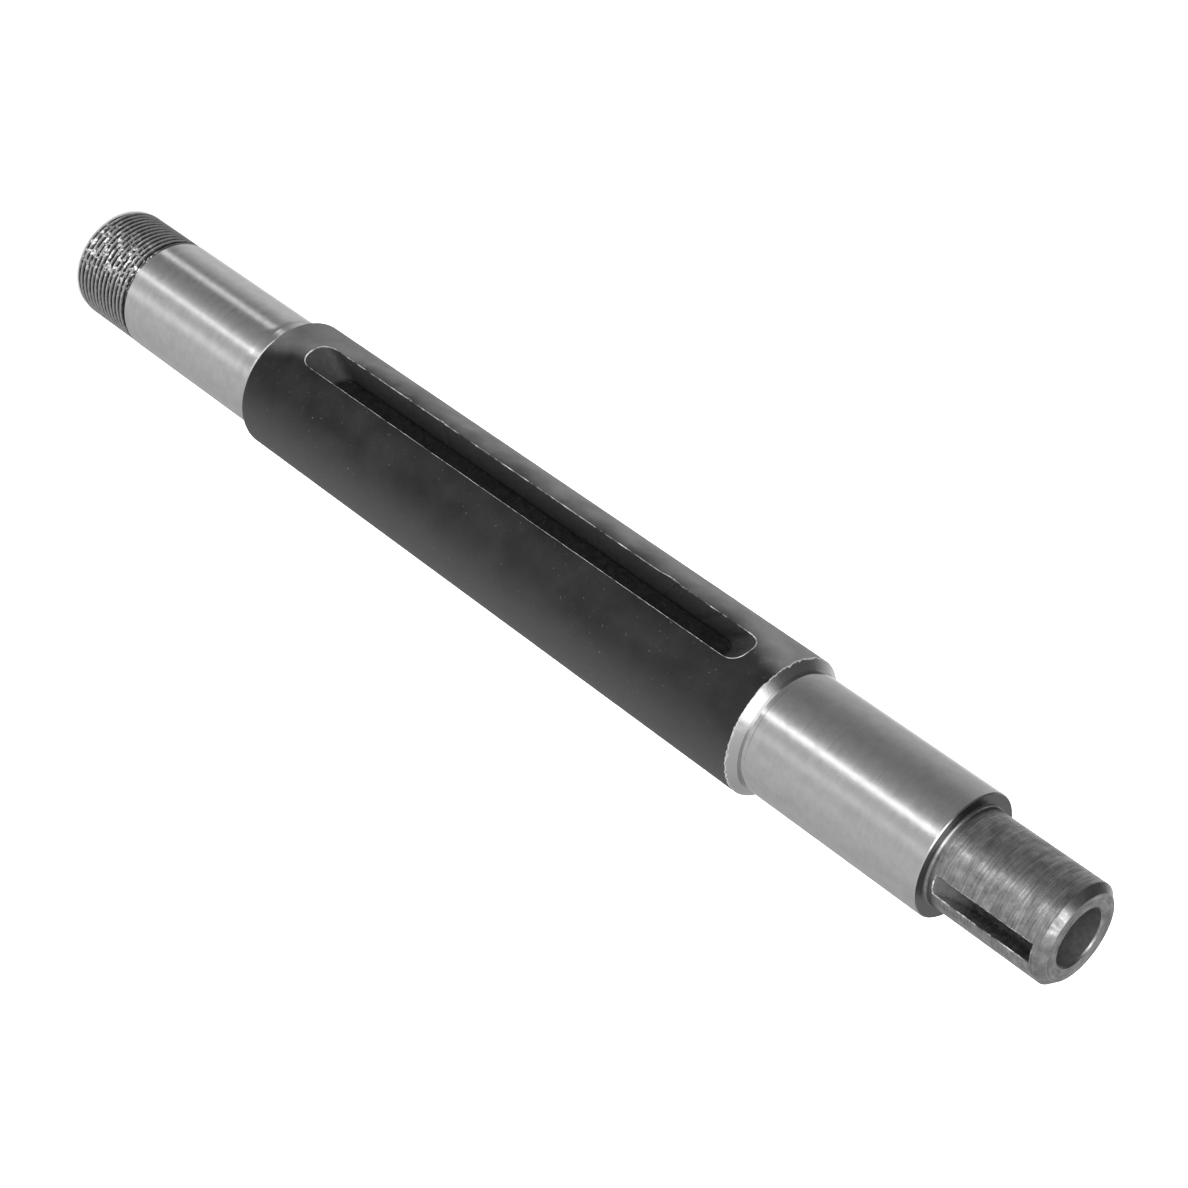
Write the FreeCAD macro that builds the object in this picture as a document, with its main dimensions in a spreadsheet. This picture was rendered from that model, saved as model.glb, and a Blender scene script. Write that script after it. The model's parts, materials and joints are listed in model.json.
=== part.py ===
import FreeCAD, Part
import math
import os
import Sketcher
from FreeCAD import Placement, Rotation, Vector

# Steering shaft, turned and milled from one steel bar. Lengths in millimetres, angles in degrees.
# The shaft stands on its threaded end: the origin is the centre of that end's face,
# +Z runs up the axis to the bored end, and the long keyway faces -Y.

SIZES = (
    ("BodyDiameter", 40.0, "black middle part, as the bar was bought"),
    ("BodyLength", 200.0, "between the two shoulders"),
    ("BodyRearChamfer", 0.4, "edge break of the rear shoulder"),
    ("BodyFrontChamfer", 2.2, "bevel of the front shoulder"),
    ("RearShoulderHeight", 2.5, "body above the rear journal"),
    ("RearJournalLength", 62.0, "ground seat, from the thread to the body"),
    ("RearReliefWidth", 2.5, "grinding relief at the body's rear shoulder"),
    ("RearReliefDepth", 0.25, "its depth below the rear journal"),
    ("ThreadStep", 0.1, "rear journal above the thread's crests"),
    ("ThreadLength", 26.0, "threaded end, chamfer included"),
    ("ThreadChamfer", 1.5, "lead-in of the thread"),
    ("ThreadRunOutWidth", 1.5, "groove where the threading tool leaves, beside the rear journal"),
    ("ThreadRunOutDepth", 1.2, "its depth below the thread's crests"),
    ("FrontShoulderHeight", 2.5, "body above the front journal"),
    ("FrontJournalLength", 58.5, "ground seat, from the body to the spigot"),
    ("FrontReliefWidth", 2.0, "grinding relief at the body's front shoulder"),
    ("FrontReliefDepth", 0.4, "its depth below the front journal"),
    ("FrontJournalChamfer", 0.3, "edge break of the spigot's shoulder"),
    ("SpigotShoulderHeight", 3.5, "front journal above the spigot"),
    ("SpigotLength", 35.5, "keyed end, chamfer included"),
    ("SpigotChamfer", 1.9, "bevel round the end face"),
    ("SpigotRootRadius", 0.8, "fillet against the shoulder"),
    ("BoreDiameter", 16.0, "blind hole in the keyed end"),
    ("BoreDepth", 42.0, "full diameter, without the drill point"),
    ("BoreChamfer", 0.5, "edge break of the bore's mouth"),
    ("DrillPointAngle", 118.0, "included angle of the drill point"),
    ("CentreMouthDiameter", 8.5, "centre hole in the threaded end, at the face"),
    ("CentrePilotDiameter", 4.0, "its pilot"),
    ("CentrePilotDepth", 9.0, "from the face to the pilot's full depth"),
    ("CentreAngle", 60.0, "included angle of the centre hole's cone"),
    ("LongKeyWidth", 10.0, "keyway along the body"),
    ("LongKeyDepth", 9.2, "from the crown of the body to the floor"),
    ("LongKeyRearMargin", 12.5, "rear shoulder to the keyway's mouth"),
    ("LongKeyFrontMargin", 12.5, "front shoulder to the keyway's mouth"),
    ("LongKeyRearRamp", 7.5, "length of the sloping rear end"),
    ("LongKeyFrontRamp", 10.3, "length of the sloping front end"),
    ("SpigotKeyAngle", 76.0, "turn from the long keyway, seen from the bored end, anticlockwise"),
    ("SpigotKeyWidth", 5.6, "keyway in the spigot"),
    ("SpigotKeyDepth", 4.0, "from the crown of the spigot to the floor"),
    ("SpigotKeyStart", 2.2, "shoulder to the start of the run-out"),
    ("SpigotKeyMargin", 3.7, "square end of the keyway to the end face"),
    ("SpigotKeyCutterRadius", 20.0, "disc cutter that leaves the run-out"),
    ("CutClearance", 1.0, "how far a cutting outline stands clear of the metal"),
)

doc = FreeCAD.newDocument("steering_shaft_model")
sheet = doc.addObject("Spreadsheet::Sheet", "Sizes")
for row, (alias, value, note) in enumerate(SIZES, start=1):
    sheet.set("A%d" % row, note)
    sheet.set("B%d" % row, str(value))
    sheet.setAlias("B%d" % row, alias)
doc.recompute()


def size(alias):
    """The cell of one size, as it is written in an expression."""
    return "Sizes." + alias


def radius(alias):
    return "(Sizes.%s / 2)" % alias


def cone_length(fall, angle):
    """Axial length in which a cone of this included angle falls by this radius."""
    return "(%s / tan(%s * 1deg / 2))" % (fall, size(angle))


# Stations along the axis, and the radii: each shoulder's height takes one seat down from the next.
journal_start = size("ThreadLength")
rear_shoulder = "(%s + %s)" % (journal_start, size("RearJournalLength"))
front_shoulder = "(%s + %s)" % (rear_shoulder, size("BodyLength"))
spigot_shoulder = "(%s + %s)" % (front_shoulder, size("FrontJournalLength"))
shaft_end = "(%s + %s)" % (spigot_shoulder, size("SpigotLength"))
body_radius = radius("BodyDiameter")
rear_journal_radius = "(%s - %s)" % (body_radius, size("RearShoulderHeight"))
thread_radius = "(%s - %s)" % (rear_journal_radius, size("ThreadStep"))
front_journal_radius = "(%s - %s)" % (body_radius, size("FrontShoulderHeight"))
spigot_radius = "(%s - %s)" % (front_journal_radius, size("SpigotShoulderHeight"))
clearance = size("CutClearance")

shaft = doc.addObject("PartDesign::Body", "steering_shaft")
shaft.Label = "steering_shaft"
origin_planes = {feature.Role: feature for feature in shaft.Origin.OriginFeatures}
ring_tolerance = 1e-4  # closer than any two rings of the shaft


def new_sketch(name, plane="XZ_Plane"):
    """An empty sketch on one of the shaft's own planes. On XZ_Plane, x is X and y is Z."""
    sketch = shaft.newObject("Sketcher::SketchObject", name)
    sketch.AttachmentSupport = (origin_planes[plane], "")
    sketch.MapMode = "FlatFace"
    return sketch


def bind(sketch, constraint, expression):
    """Adds one dimension and ties it to the sheet."""
    index = sketch.addConstraint(constraint)
    sketch.setExpression("Constraints[%d]" % index, expression)


def place_point(sketch, line, end, x, y):
    """Holds one end of a line at (x, y), each given as an expression or as 0."""
    for axis, kind, expression in ((-2, "DistanceX", x), (-1, "DistanceY", y)):
        if expression == 0:
            sketch.addConstraint(Sketcher.Constraint("PointOnObject", line, end, axis))
        else:
            value = number(expression)
            bind(sketch, Sketcher.Constraint(kind, -1, 1, line, end, value), expression)


def number(expression):
    """The value that an expression has now, so that a sketch starts out near its solution."""
    return float(sheet.evalExpression(expression))


def outline(name, corners):
    """A closed outline of straight lines through corners, each one a pair of expressions."""
    sketch = new_sketch(name)
    points = [Vector(0 if x == 0 else number(x), 0 if y == 0 else number(y), 0) for x, y in corners]
    count = len(points)
    for index in range(count):
        sketch.addGeometry(Part.LineSegment(points[index], points[(index + 1) % count]), False)
    for index in range(count):
        sketch.addConstraint(Sketcher.Constraint("Coincident", index, 2, (index + 1) % count, 1))
    for index, (x, y) in enumerate(corners):
        place_point(sketch, index, 1, x, y)
    return sketch


def turn(kind, name, sketch):
    """A full turn of a sketch about the shaft's axis."""
    feature = shaft.newObject(kind, name)
    feature.Profile = sketch
    feature.ReferenceAxis = (sketch, ["V_Axis"])
    feature.Angle = 360.0
    sketch.Visibility = False
    doc.recompute()
    return feature


def ring_edges(feature, ring_radius, height):
    """Names of the feature's circular edges with this radius at this height."""
    names = []
    for index, edge in enumerate(feature.Shape.Edges, start=1):
        curve = edge.Curve
        if not isinstance(curve, Part.Circle):
            continue
        same_radius = abs(curve.Radius - ring_radius) < ring_tolerance
        same_height = abs(curve.Center.z - height) < ring_tolerance
        if same_radius and same_height:
            names.append("Edge%d" % index)
    return names


def dress(kind, name, base, ring_radius, height, quantity, expression):
    """A chamfer or fillet on the ring at this radius and height."""
    edges = ring_edges(base, number(ring_radius), number(height))
    if not edges:
        raise RuntimeError("no edge for " + name)
    feature = shaft.newObject(kind, name)
    feature.Base = (base, edges)
    feature.setExpression(quantity, expression)
    doc.recompute()
    return feature


# Turned blank: thread, rear journal, body, front journal and spigot.
blank_outline = outline("blank_outline", (
    (0, 0),
    (thread_radius, 0),
    (thread_radius, journal_start),
    (rear_journal_radius, journal_start),
    (rear_journal_radius, rear_shoulder),
    (body_radius, rear_shoulder),
    (body_radius, front_shoulder),
    (front_journal_radius, front_shoulder),
    (front_journal_radius, spigot_shoulder),
    (spigot_radius, spigot_shoulder),
    (spigot_radius, shaft_end),
    (0, shaft_end),
))
blank = turn("PartDesign::Revolution", "blank", blank_outline)


def relief_outline(name, seat_radius, depth, width, shoulder, side):
    """A relief: square at the shoulder, 45 degrees on the seat's side; side is the way it runs."""
    floor = "(%s - %s)" % (seat_radius, depth)
    outside = "(%s + %s)" % (seat_radius, clearance)
    floor_end = "(%s %s (%s - %s))" % (shoulder, side, width, depth)
    exit_end = "(%s %s (%s + %s))" % (shoulder, side, width, clearance)
    return outline(name, ((floor, shoulder), (floor, floor_end), (outside, exit_end), (outside, shoulder)))


# The thread's run-out groove, and grinding reliefs that let a wheel clear both shoulders of the body.
thread_run_out = turn("PartDesign::Groove", "thread_run_out", relief_outline(
    "thread_run_out_outline", thread_radius, size("ThreadRunOutDepth"),
    size("ThreadRunOutWidth"), journal_start, "-"))
rear_relief = turn("PartDesign::Groove", "rear_relief", relief_outline(
    "rear_relief_outline", rear_journal_radius, size("RearReliefDepth"),
    size("RearReliefWidth"), rear_shoulder, "-"))
front_relief = turn("PartDesign::Groove", "front_relief", relief_outline(
    "front_relief_outline", front_journal_radius, size("FrontReliefDepth"),
    size("FrontReliefWidth"), front_shoulder, "+"))

# Bevels, edge breaks and the spigot's root fillet.
edge = dress("PartDesign::Chamfer", "thread_chamfer", front_relief,
             thread_radius, "0", "Size", size("ThreadChamfer"))
edge = dress("PartDesign::Chamfer", "rear_shoulder_break", edge,
             body_radius, rear_shoulder, "Size", size("BodyRearChamfer"))
edge = dress("PartDesign::Chamfer", "front_shoulder_bevel", edge,
             body_radius, front_shoulder, "Size", size("BodyFrontChamfer"))
edge = dress("PartDesign::Chamfer", "journal_edge_break", edge,
             front_journal_radius, spigot_shoulder, "Size", size("FrontJournalChamfer"))
edge = dress("PartDesign::Chamfer", "spigot_bevel", edge,
             spigot_radius, shaft_end, "Size", size("SpigotChamfer"))
root_fillet = dress("PartDesign::Fillet", "spigot_root_fillet", edge,
                    spigot_radius, spigot_shoulder, "Radius", size("SpigotRootRadius"))

# Blind bore in the spigot, with a drill point and a broken mouth.
bore_radius = radius("BoreDiameter")
bore_floor = "(%s - %s)" % (shaft_end, size("BoreDepth"))
bore_tip = "(%s - %s)" % (bore_floor, cone_length(bore_radius, "DrillPointAngle"))
above_end = "(%s + %s)" % (shaft_end, clearance)
bore_outline = outline("bore_outline", (
    (0, bore_tip),
    (bore_radius, bore_floor),
    (bore_radius, "(%s - %s)" % (shaft_end, size("BoreChamfer"))),
    ("(%s + %s + %s)" % (bore_radius, size("BoreChamfer"), clearance), above_end),
    (0, above_end),
))
bore = turn("PartDesign::Groove", "bore", bore_outline)

# Centre hole in the threaded end, which carried the shaft on the lathe.
mouth_radius = radius("CentreMouthDiameter")
pilot_radius = radius("CentrePilotDiameter")
pilot_floor = size("CentrePilotDepth")
centre_outline = outline("centre_outline", (
    (0, 0),
    (mouth_radius, 0),
    (pilot_radius, cone_length("(%s - %s)" % (mouth_radius, pilot_radius), "CentreAngle")),
    (pilot_radius, pilot_floor),
    (0, "(%s + %s)" % (pilot_floor, cone_length(pilot_radius, "DrillPointAngle"))),
))
centre_hole = turn("PartDesign::Groove", "centre_hole", centre_outline)


def keyway_outline(name, height, low, high):
    """A round-ended slot seen along -Y, at this height from the axis, between two stations."""
    sketch = new_sketch(name)
    sketch.setExpression("AttachmentOffset.Base.z", height)
    half = radius("LongKeyWidth")
    low_centre = "(%s + %s)" % (low, half)
    high_centre = "(%s - %s)" % (high, half)
    half_now, low_now, high_now = number(half), number(low_centre), number(high_centre)
    up = Vector(0, 0, 1)
    bottom = Part.Circle(Vector(0, low_now, 0), up, half_now)
    top = Part.Circle(Vector(0, high_now, 0), up, half_now)
    corners = [Vector(half_now, low_now, 0), Vector(half_now, high_now, 0),
               Vector(-half_now, high_now, 0), Vector(-half_now, low_now, 0)]
    right_side = sketch.addGeometry(Part.LineSegment(corners[0], corners[1]), False)
    top_end = sketch.addGeometry(Part.ArcOfCircle(top, 0, math.pi), False)
    left_side = sketch.addGeometry(Part.LineSegment(corners[2], corners[3]), False)
    bottom_end = sketch.addGeometry(Part.ArcOfCircle(bottom, math.pi, 2 * math.pi), False)
    sketch.addConstraint(Sketcher.Constraint("Tangent", right_side, 2, top_end, 1))
    sketch.addConstraint(Sketcher.Constraint("Tangent", top_end, 2, left_side, 1))
    sketch.addConstraint(Sketcher.Constraint("Tangent", left_side, 2, bottom_end, 1))
    sketch.addConstraint(Sketcher.Constraint("Tangent", bottom_end, 2, right_side, 1))
    sketch.addConstraint(Sketcher.Constraint("PointOnObject", top_end, 3, -2))
    sketch.addConstraint(Sketcher.Constraint("PointOnObject", bottom_end, 3, -2))
    sketch.addConstraint(Sketcher.Constraint("Equal", top_end, bottom_end))
    bind(sketch, Sketcher.Constraint("Radius", top_end, half_now), half)
    bind(sketch, Sketcher.Constraint("DistanceY", -1, 1, bottom_end, 3, low_now), low_centre)
    bind(sketch, Sketcher.Constraint("DistanceY", -1, 1, top_end, 3, high_now), high_centre)
    return sketch


# Long keyway: an end mill runs in on a slope, along the floor and out on a slope.
# Its two outlines lie on the floor and just above the crown, joined by straight rulings.
long_floor = "(%s - %s)" % (body_radius, size("LongKeyDepth"))
long_rise = "(%s / %s)" % (clearance, size("LongKeyDepth"))
mouth_low = "(%s + %s)" % (rear_shoulder, size("LongKeyRearMargin"))
mouth_high = "(%s - %s)" % (front_shoulder, size("LongKeyFrontMargin"))
floor_sketch = keyway_outline(
    "long_keyway_floor", long_floor,
    "(%s + %s)" % (mouth_low, size("LongKeyRearRamp")),
    "(%s - %s)" % (mouth_high, size("LongKeyFrontRamp")))
crown_sketch = keyway_outline(
    "long_keyway_mouth", "(%s + %s)" % (body_radius, clearance),
    "(%s - %s * %s)" % (mouth_low, size("LongKeyRearRamp"), long_rise),
    "(%s + %s * %s)" % (mouth_high, size("LongKeyFrontRamp"), long_rise))
doc.recompute()
long_keyway = shaft.newObject("PartDesign::SubtractiveLoft", "long_keyway")
long_keyway.Profile = floor_sketch
long_keyway.Sections = [crown_sketch]
long_keyway.Ruled = True
floor_sketch.Visibility = False
crown_sketch.Visibility = False
doc.recompute()

# Spigot keyway: flat floor, square at the free end, and the arc of a disc cutter by the shoulder.
# Its side view is drawn on a plane through the axis that is turned from the long keyway.
spigot_floor = "(%s - %s)" % (spigot_radius, size("SpigotKeyDepth"))
spigot_outside = "(%s + %s)" % (spigot_radius, clearance)
cutter = size("SpigotKeyCutterRadius")
run_out = "sqrt(%s ^ 2 - (%s - %s) ^ 2)" % (cutter, cutter, size("SpigotKeyDepth"))
long_run_out = "sqrt(%s ^ 2 - (%s - %s - %s) ^ 2)" % (cutter, cutter, size("SpigotKeyDepth"), clearance)
floor_start = "(%s + %s + %s)" % (spigot_shoulder, size("SpigotKeyStart"), run_out)
arc_end = "(%s - %s)" % (floor_start, long_run_out)
square_end = "(%s - %s)" % (shaft_end, size("SpigotKeyMargin"))
cutter_centre = "(%s + %s)" % (spigot_floor, cutter)

key_turn = "(%s - 90)" % size("SpigotKeyAngle")  # the sketch plane itself lies 90 degrees from -Y
side_view = new_sketch("spigot_keyway_side")
side_view.AttachmentOffset = Placement(Vector(0, 0, 0), Rotation(Vector(0, 1, 0), number(key_turn)))
side_view.setExpression("AttachmentOffset.Rotation.Angle", key_turn + " * 1deg")
floor_now, outside_now = number(spigot_floor), number(spigot_outside)
start_now, square_now = number(floor_start), number(square_end)
arc_now, centre_now, cutter_now = number(arc_end), number(cutter_centre), number(cutter)
cutter_circle = Part.Circle(Vector(centre_now, start_now, 0), Vector(0, 0, 1), cutter_now)
arc_low = math.atan2(arc_now - start_now, outside_now - centre_now)
inner_end, outer_end = Vector(floor_now, square_now), Vector(outside_now, square_now)
key_floor = side_view.addGeometry(Part.LineSegment(Vector(floor_now, start_now), inner_end))
key_end = side_view.addGeometry(Part.LineSegment(inner_end, outer_end))
key_top = side_view.addGeometry(Part.LineSegment(outer_end, Vector(outside_now, arc_now)))
key_arc = side_view.addGeometry(Part.ArcOfCircle(cutter_circle, math.pi, arc_low % (2 * math.pi)))
side_view.addConstraint(Sketcher.Constraint("Coincident", key_floor, 2, key_end, 1))
side_view.addConstraint(Sketcher.Constraint("Coincident", key_end, 2, key_top, 1))
side_view.addConstraint(Sketcher.Constraint("Coincident", key_top, 2, key_arc, 2))
side_view.addConstraint(Sketcher.Constraint("Tangent", key_arc, 1, key_floor, 1))
side_view.addConstraint(Sketcher.Constraint("Vertical", key_floor))
side_view.addConstraint(Sketcher.Constraint("Horizontal", key_end))
side_view.addConstraint(Sketcher.Constraint("Vertical", key_top))
bind(side_view, Sketcher.Constraint("DistanceX", -1, 1, key_floor, 1, floor_now), spigot_floor)
bind(side_view, Sketcher.Constraint("DistanceY", -1, 1, key_floor, 1, start_now), floor_start)
bind(side_view, Sketcher.Constraint("DistanceY", -1, 1, key_floor, 2, square_now), square_end)
bind(side_view, Sketcher.Constraint("DistanceX", -1, 1, key_top, 1, outside_now), spigot_outside)
bind(side_view, Sketcher.Constraint("Radius", key_arc, cutter_now), cutter)
doc.recompute()
spigot_keyway = shaft.newObject("PartDesign::Pocket", "spigot_keyway")
spigot_keyway.Profile = side_view
spigot_keyway.SideType = "Symmetric"
spigot_keyway.setExpression("Length", size("SpigotKeyWidth"))
side_view.Visibility = False
shaft.Tip = spigot_keyway
doc.recompute()

# Every feature is sound, each cut has taken metal away, and the shaft is one valid solid.
for item in doc.Objects:
    if "Invalid" in item.State or "Error" in item.State:
        raise RuntimeError(item.Name + " failed")
cuts = (blank, thread_run_out, rear_relief, front_relief, edge, bore, centre_hole, long_keyway, spigot_keyway)
for before, after in zip(cuts, cuts[1:]):
    if after.Shape.Volume >= before.Shape.Volume:
        raise RuntimeError(after.Name + " cuts nothing")
solid = shaft.Shape
if solid.isNull() or not solid.isValid() or len(solid.Solids) != 1:
    raise RuntimeError("the shaft is not one valid solid")

os.makedirs("parts", exist_ok=True)
solid.exportStep(os.path.join("parts", shaft.Label + ".step"))
print("steering_shaft: %.1f cm3" % (solid.Volume / 1000.0), solid.BoundBox)
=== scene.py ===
import json
import math
import bmesh
import bpy
from mathutils import Matrix, Vector, noise


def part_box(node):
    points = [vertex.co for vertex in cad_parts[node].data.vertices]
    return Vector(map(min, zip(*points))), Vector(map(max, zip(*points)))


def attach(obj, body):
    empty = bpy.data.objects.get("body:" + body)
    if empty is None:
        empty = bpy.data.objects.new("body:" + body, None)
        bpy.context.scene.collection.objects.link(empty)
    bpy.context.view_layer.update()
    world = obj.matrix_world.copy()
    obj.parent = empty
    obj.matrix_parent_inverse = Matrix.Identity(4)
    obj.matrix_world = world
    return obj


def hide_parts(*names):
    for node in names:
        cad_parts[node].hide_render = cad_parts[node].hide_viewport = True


# Steering shaft, standing on its threaded end. Blender's units are metres; the sizes here are millimetres.
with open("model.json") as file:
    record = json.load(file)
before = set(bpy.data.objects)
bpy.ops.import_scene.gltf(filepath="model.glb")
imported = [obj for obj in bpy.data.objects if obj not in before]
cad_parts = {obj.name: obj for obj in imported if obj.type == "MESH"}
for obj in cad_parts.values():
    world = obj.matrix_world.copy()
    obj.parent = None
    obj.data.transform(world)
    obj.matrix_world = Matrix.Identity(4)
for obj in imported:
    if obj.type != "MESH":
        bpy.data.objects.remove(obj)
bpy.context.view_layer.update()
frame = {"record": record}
mm = 0.001
mounts = {mount["name"]: mount for mount in frame["record"]["mounts"]}


def seat(name):
    # radius, low end and high end of a round seat
    mount = mounts[name]
    middle = mount["pos_m"][2] / mm
    half = mount["dims"]["length_mm"] / 2
    return mount["dims"]["r_mm"], middle - half, middle + half


def station(name):
    return mounts[name]["pos_m"][2] / mm


threadRadius, _, threadHigh = seat("thread")
rearRadius, rearLow, rearHigh = seat("rear_journal")
bodyRadius, bodyLow, bodyHigh = seat("body_seat")
frontRadius, frontLow, frontHigh = seat("front_journal")
spigotRadius, spigotLow, spigotHigh = seat("spigot")
boreRadius, boreLow, boreHigh = seat("end_bore")
rearShoulder = station("rear_shoulder")
spigotShoulder = station("spigot_shoulder")
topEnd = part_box("steering_shaft")[1].z / mm

finishes = ("scale", "ground", "turned", "thread", "milled", "slot", "burr", "bore")
slotOf = {name: index for index, name in enumerate(finishes)}
close = 0.001                # millimetres within which two places count as one


def addRow(bm, points):
    # a few vertices in the XZ plane, joined in a row
    verts = [bm.verts.new((radius * mm, 0, z * mm)) for radius, z in points]
    return [bm.edges.new(pair) for pair in zip(verts, verts[1:])]


def coneLength(radius, angle):
    return radius / math.tan(math.radians(angle / 2))


blank = {
    "segments": 144,         # round the shaft
    "bodyRows": 250,         # along the black body
    "seatRows": 24,          # along each ground seat
    "spigotRows": 42,
    "ringPitch": 0.45,       # coarse tool rings left beside two shoulders
    "ringDepth": 0.05,
    "rearRings": 2.7,        # how far along the shaft they reach
    "spigotRings": 3.6,
    "edgeBreak": 0.15,       # corner of the rear seat
    "rearReliefDepth": 0.25,
    "rearReliefSlope": 0.25,
    "frontBevel": 2.2,
    "frontReliefDepth": 0.4,
    "rootFillet": 0.8,
    "endBevel": 1.9,
    "drillAngle": 118,
    "centreMouth": 4.25,     # centre hole in the threaded end, radius at the face
    "centrePilot": 2.0,
    "centreDepth": 9.0,
    "centreAngle": 60,
}

# knocks in the turned surface: degrees from +X, height, size, depth
dents = [(-57.5, 381.2, 1.3, 0.30), (-21.8, 379.7, 1.2, 0.35), (-64, 380.2, 1.6, 0.14), (-48, 380.6, 1.0, 0.16),
         (-52, 287.2, 1.5, 0.25), (-66, 286.0, 1.2, 0.15), (-40, 286.4, 1.0, 0.12), (-97, 95.0, 1.4, 0.15)]


def turnBlank(bm):
    # all that was turned, from the run-out groove to the bottom of the bore
    b = blank
    row = [
        (thread["groove"], rearLow - thread["gap"]),
        (thread["groove"], rearLow),
        (rearRadius - b["edgeBreak"], rearLow),
        (rearRadius, rearLow + b["edgeBreak"]),
        (rearRadius, rearHigh - b["rearRings"]),
        (rearRadius, rearHigh),
        (rearRadius - b["rearReliefDepth"], rearHigh + b["rearReliefSlope"]),
        (rearRadius - b["rearReliefDepth"], rearShoulder),
        (bodyRadius - (bodyLow - rearShoulder), rearShoulder),
        (bodyRadius, bodyLow),
        (bodyRadius, bodyHigh),
        (bodyRadius - b["frontBevel"], bodyHigh + b["frontBevel"]),
        (frontRadius - b["frontReliefDepth"], bodyHigh + b["frontBevel"]),
        (frontRadius - b["frontReliefDepth"], frontLow - b["frontReliefDepth"]),
        (frontRadius, frontLow),
        (frontRadius, frontHigh),
        (frontRadius - (spigotShoulder - frontHigh), spigotShoulder),
        (spigotRadius + b["rootFillet"], spigotShoulder),
        (spigotRadius, spigotLow),
        (spigotRadius, spigotLow + b["spigotRings"]),
        (spigotRadius, spigotHigh),
        (spigotRadius - b["endBevel"], topEnd),
        (boreRadius + (topEnd - boreHigh), topEnd),
        (boreRadius, boreHigh),
        (boreRadius, boreLow),
        (0, boreLow - coneLength(boreRadius, b["drillAngle"])),
    ]
    edges = addRow(bm, row)
    ringRow = b["ringPitch"] / 2
    # rows of faces along each stretch of the outline above, by its number
    rows = {3: b["seatRows"], 4: round(b["rearRings"] / ringRow), 9: b["bodyRows"], 10: 4,
            14: b["seatRows"], 17: 5, 18: round(b["spigotRings"] / ringRow), 19: b["spigotRows"], 20: 3, 21: 4, 23: 10}
    for number, count in rows.items():
        bmesh.ops.subdivide_edges(bm, edges=[edges[number]], cuts=count - 1)
    # the spigot's root, drawn in to a quarter round
    middle = Vector(((spigotRadius + b["rootFillet"]) * mm, 0, (spigotShoulder + b["rootFillet"]) * mm))
    for vert in bm.verts:
        reach = vert.co - middle
        if vert.co.x < middle.x - 1e-9 and spigotShoulder < vert.co.z / mm < spigotLow:
            vert.co = middle + reach.normalized() * b["rootFillet"] * mm
    # tool rings: every other row of vertices a little lower
    for low, reach, radius in ((rearHigh - b["rearRings"], b["rearRings"], rearRadius),
                               (spigotLow, b["spigotRings"], spigotRadius)):
        for vert in bm.verts:
            place = (vert.co.z / mm - low) / ringRow
            if 0.5 < place < reach / ringRow - 0.5 and abs(vert.co.x / mm - radius) < close:
                vert.co.x -= b["ringDepth"] * mm * (round(place) % 2)
    # the threaded end's face, with its centre hole
    pilot = b["centrePilot"]
    addRow(bm, [
        (threadRadius - thread["chamfer"] - thread["gap"], 0),
        (b["centreMouth"], 0),
        (pilot, coneLength(b["centreMouth"] - pilot, b["centreAngle"])),
        (pilot, b["centreDepth"]),
        (0, b["centreDepth"] + coneLength(pilot, b["drillAngle"])),
    ])
    bmesh.ops.spin(bm, geom=bm.verts[:] + bm.edges[:], cent=(0, 0, 0), axis=(0, 0, 1),
                   angle=math.tau, steps=b["segments"], use_merge=True)
    bmesh.ops.remove_doubles(bm, verts=bm.verts, dist=1e-6)
    for angle, height, size, depth in dents:
        nearby = [vert for vert in bm.verts if abs(vert.co.z / mm - height) < size]
        turn = math.radians(angle)
        for vert in nearby:
            radius = vert.co.xy.length / mm
            spot = Vector((radius * math.cos(turn), radius * math.sin(turn), height))
            away = (vert.co / mm - spot).length / size
            if away < 1 and radius > boreRadius + 1:
                vert.co.xy *= 1 - depth * (1 - away * away) ** 2 / radius


thread = {
    "pitch": 1.88,
    "crest": 0.125,          # flats, as shares of the pitch
    "root": 0.25,
    "depth": 0.5413,
    "rootDepth": 0.6134,
    "chamfer": 1.5,
    "groove": 16.2,          # radius of the run-out groove's floor
    "gap": 0.06,             # bridged where the thread meets the turned blank
    "batter": 0.05,          # how far worn crests are pushed in
    "hammered": 0.3,         # and on the side that was knocked
    "knockedAndGlintSide": -59,     # degrees from +X; the thread's material also paints glints on this side, where the highlight falls
    "hammeredFocus": 8,      # more keeps the knocks closer to that side
    "wearPace": 0.9,         # large and small unevenness of the wear, waves a millimetre
    "wearFinePace": 2.7,
    "wearFine": 0.6,         # share of the small one
}


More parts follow.
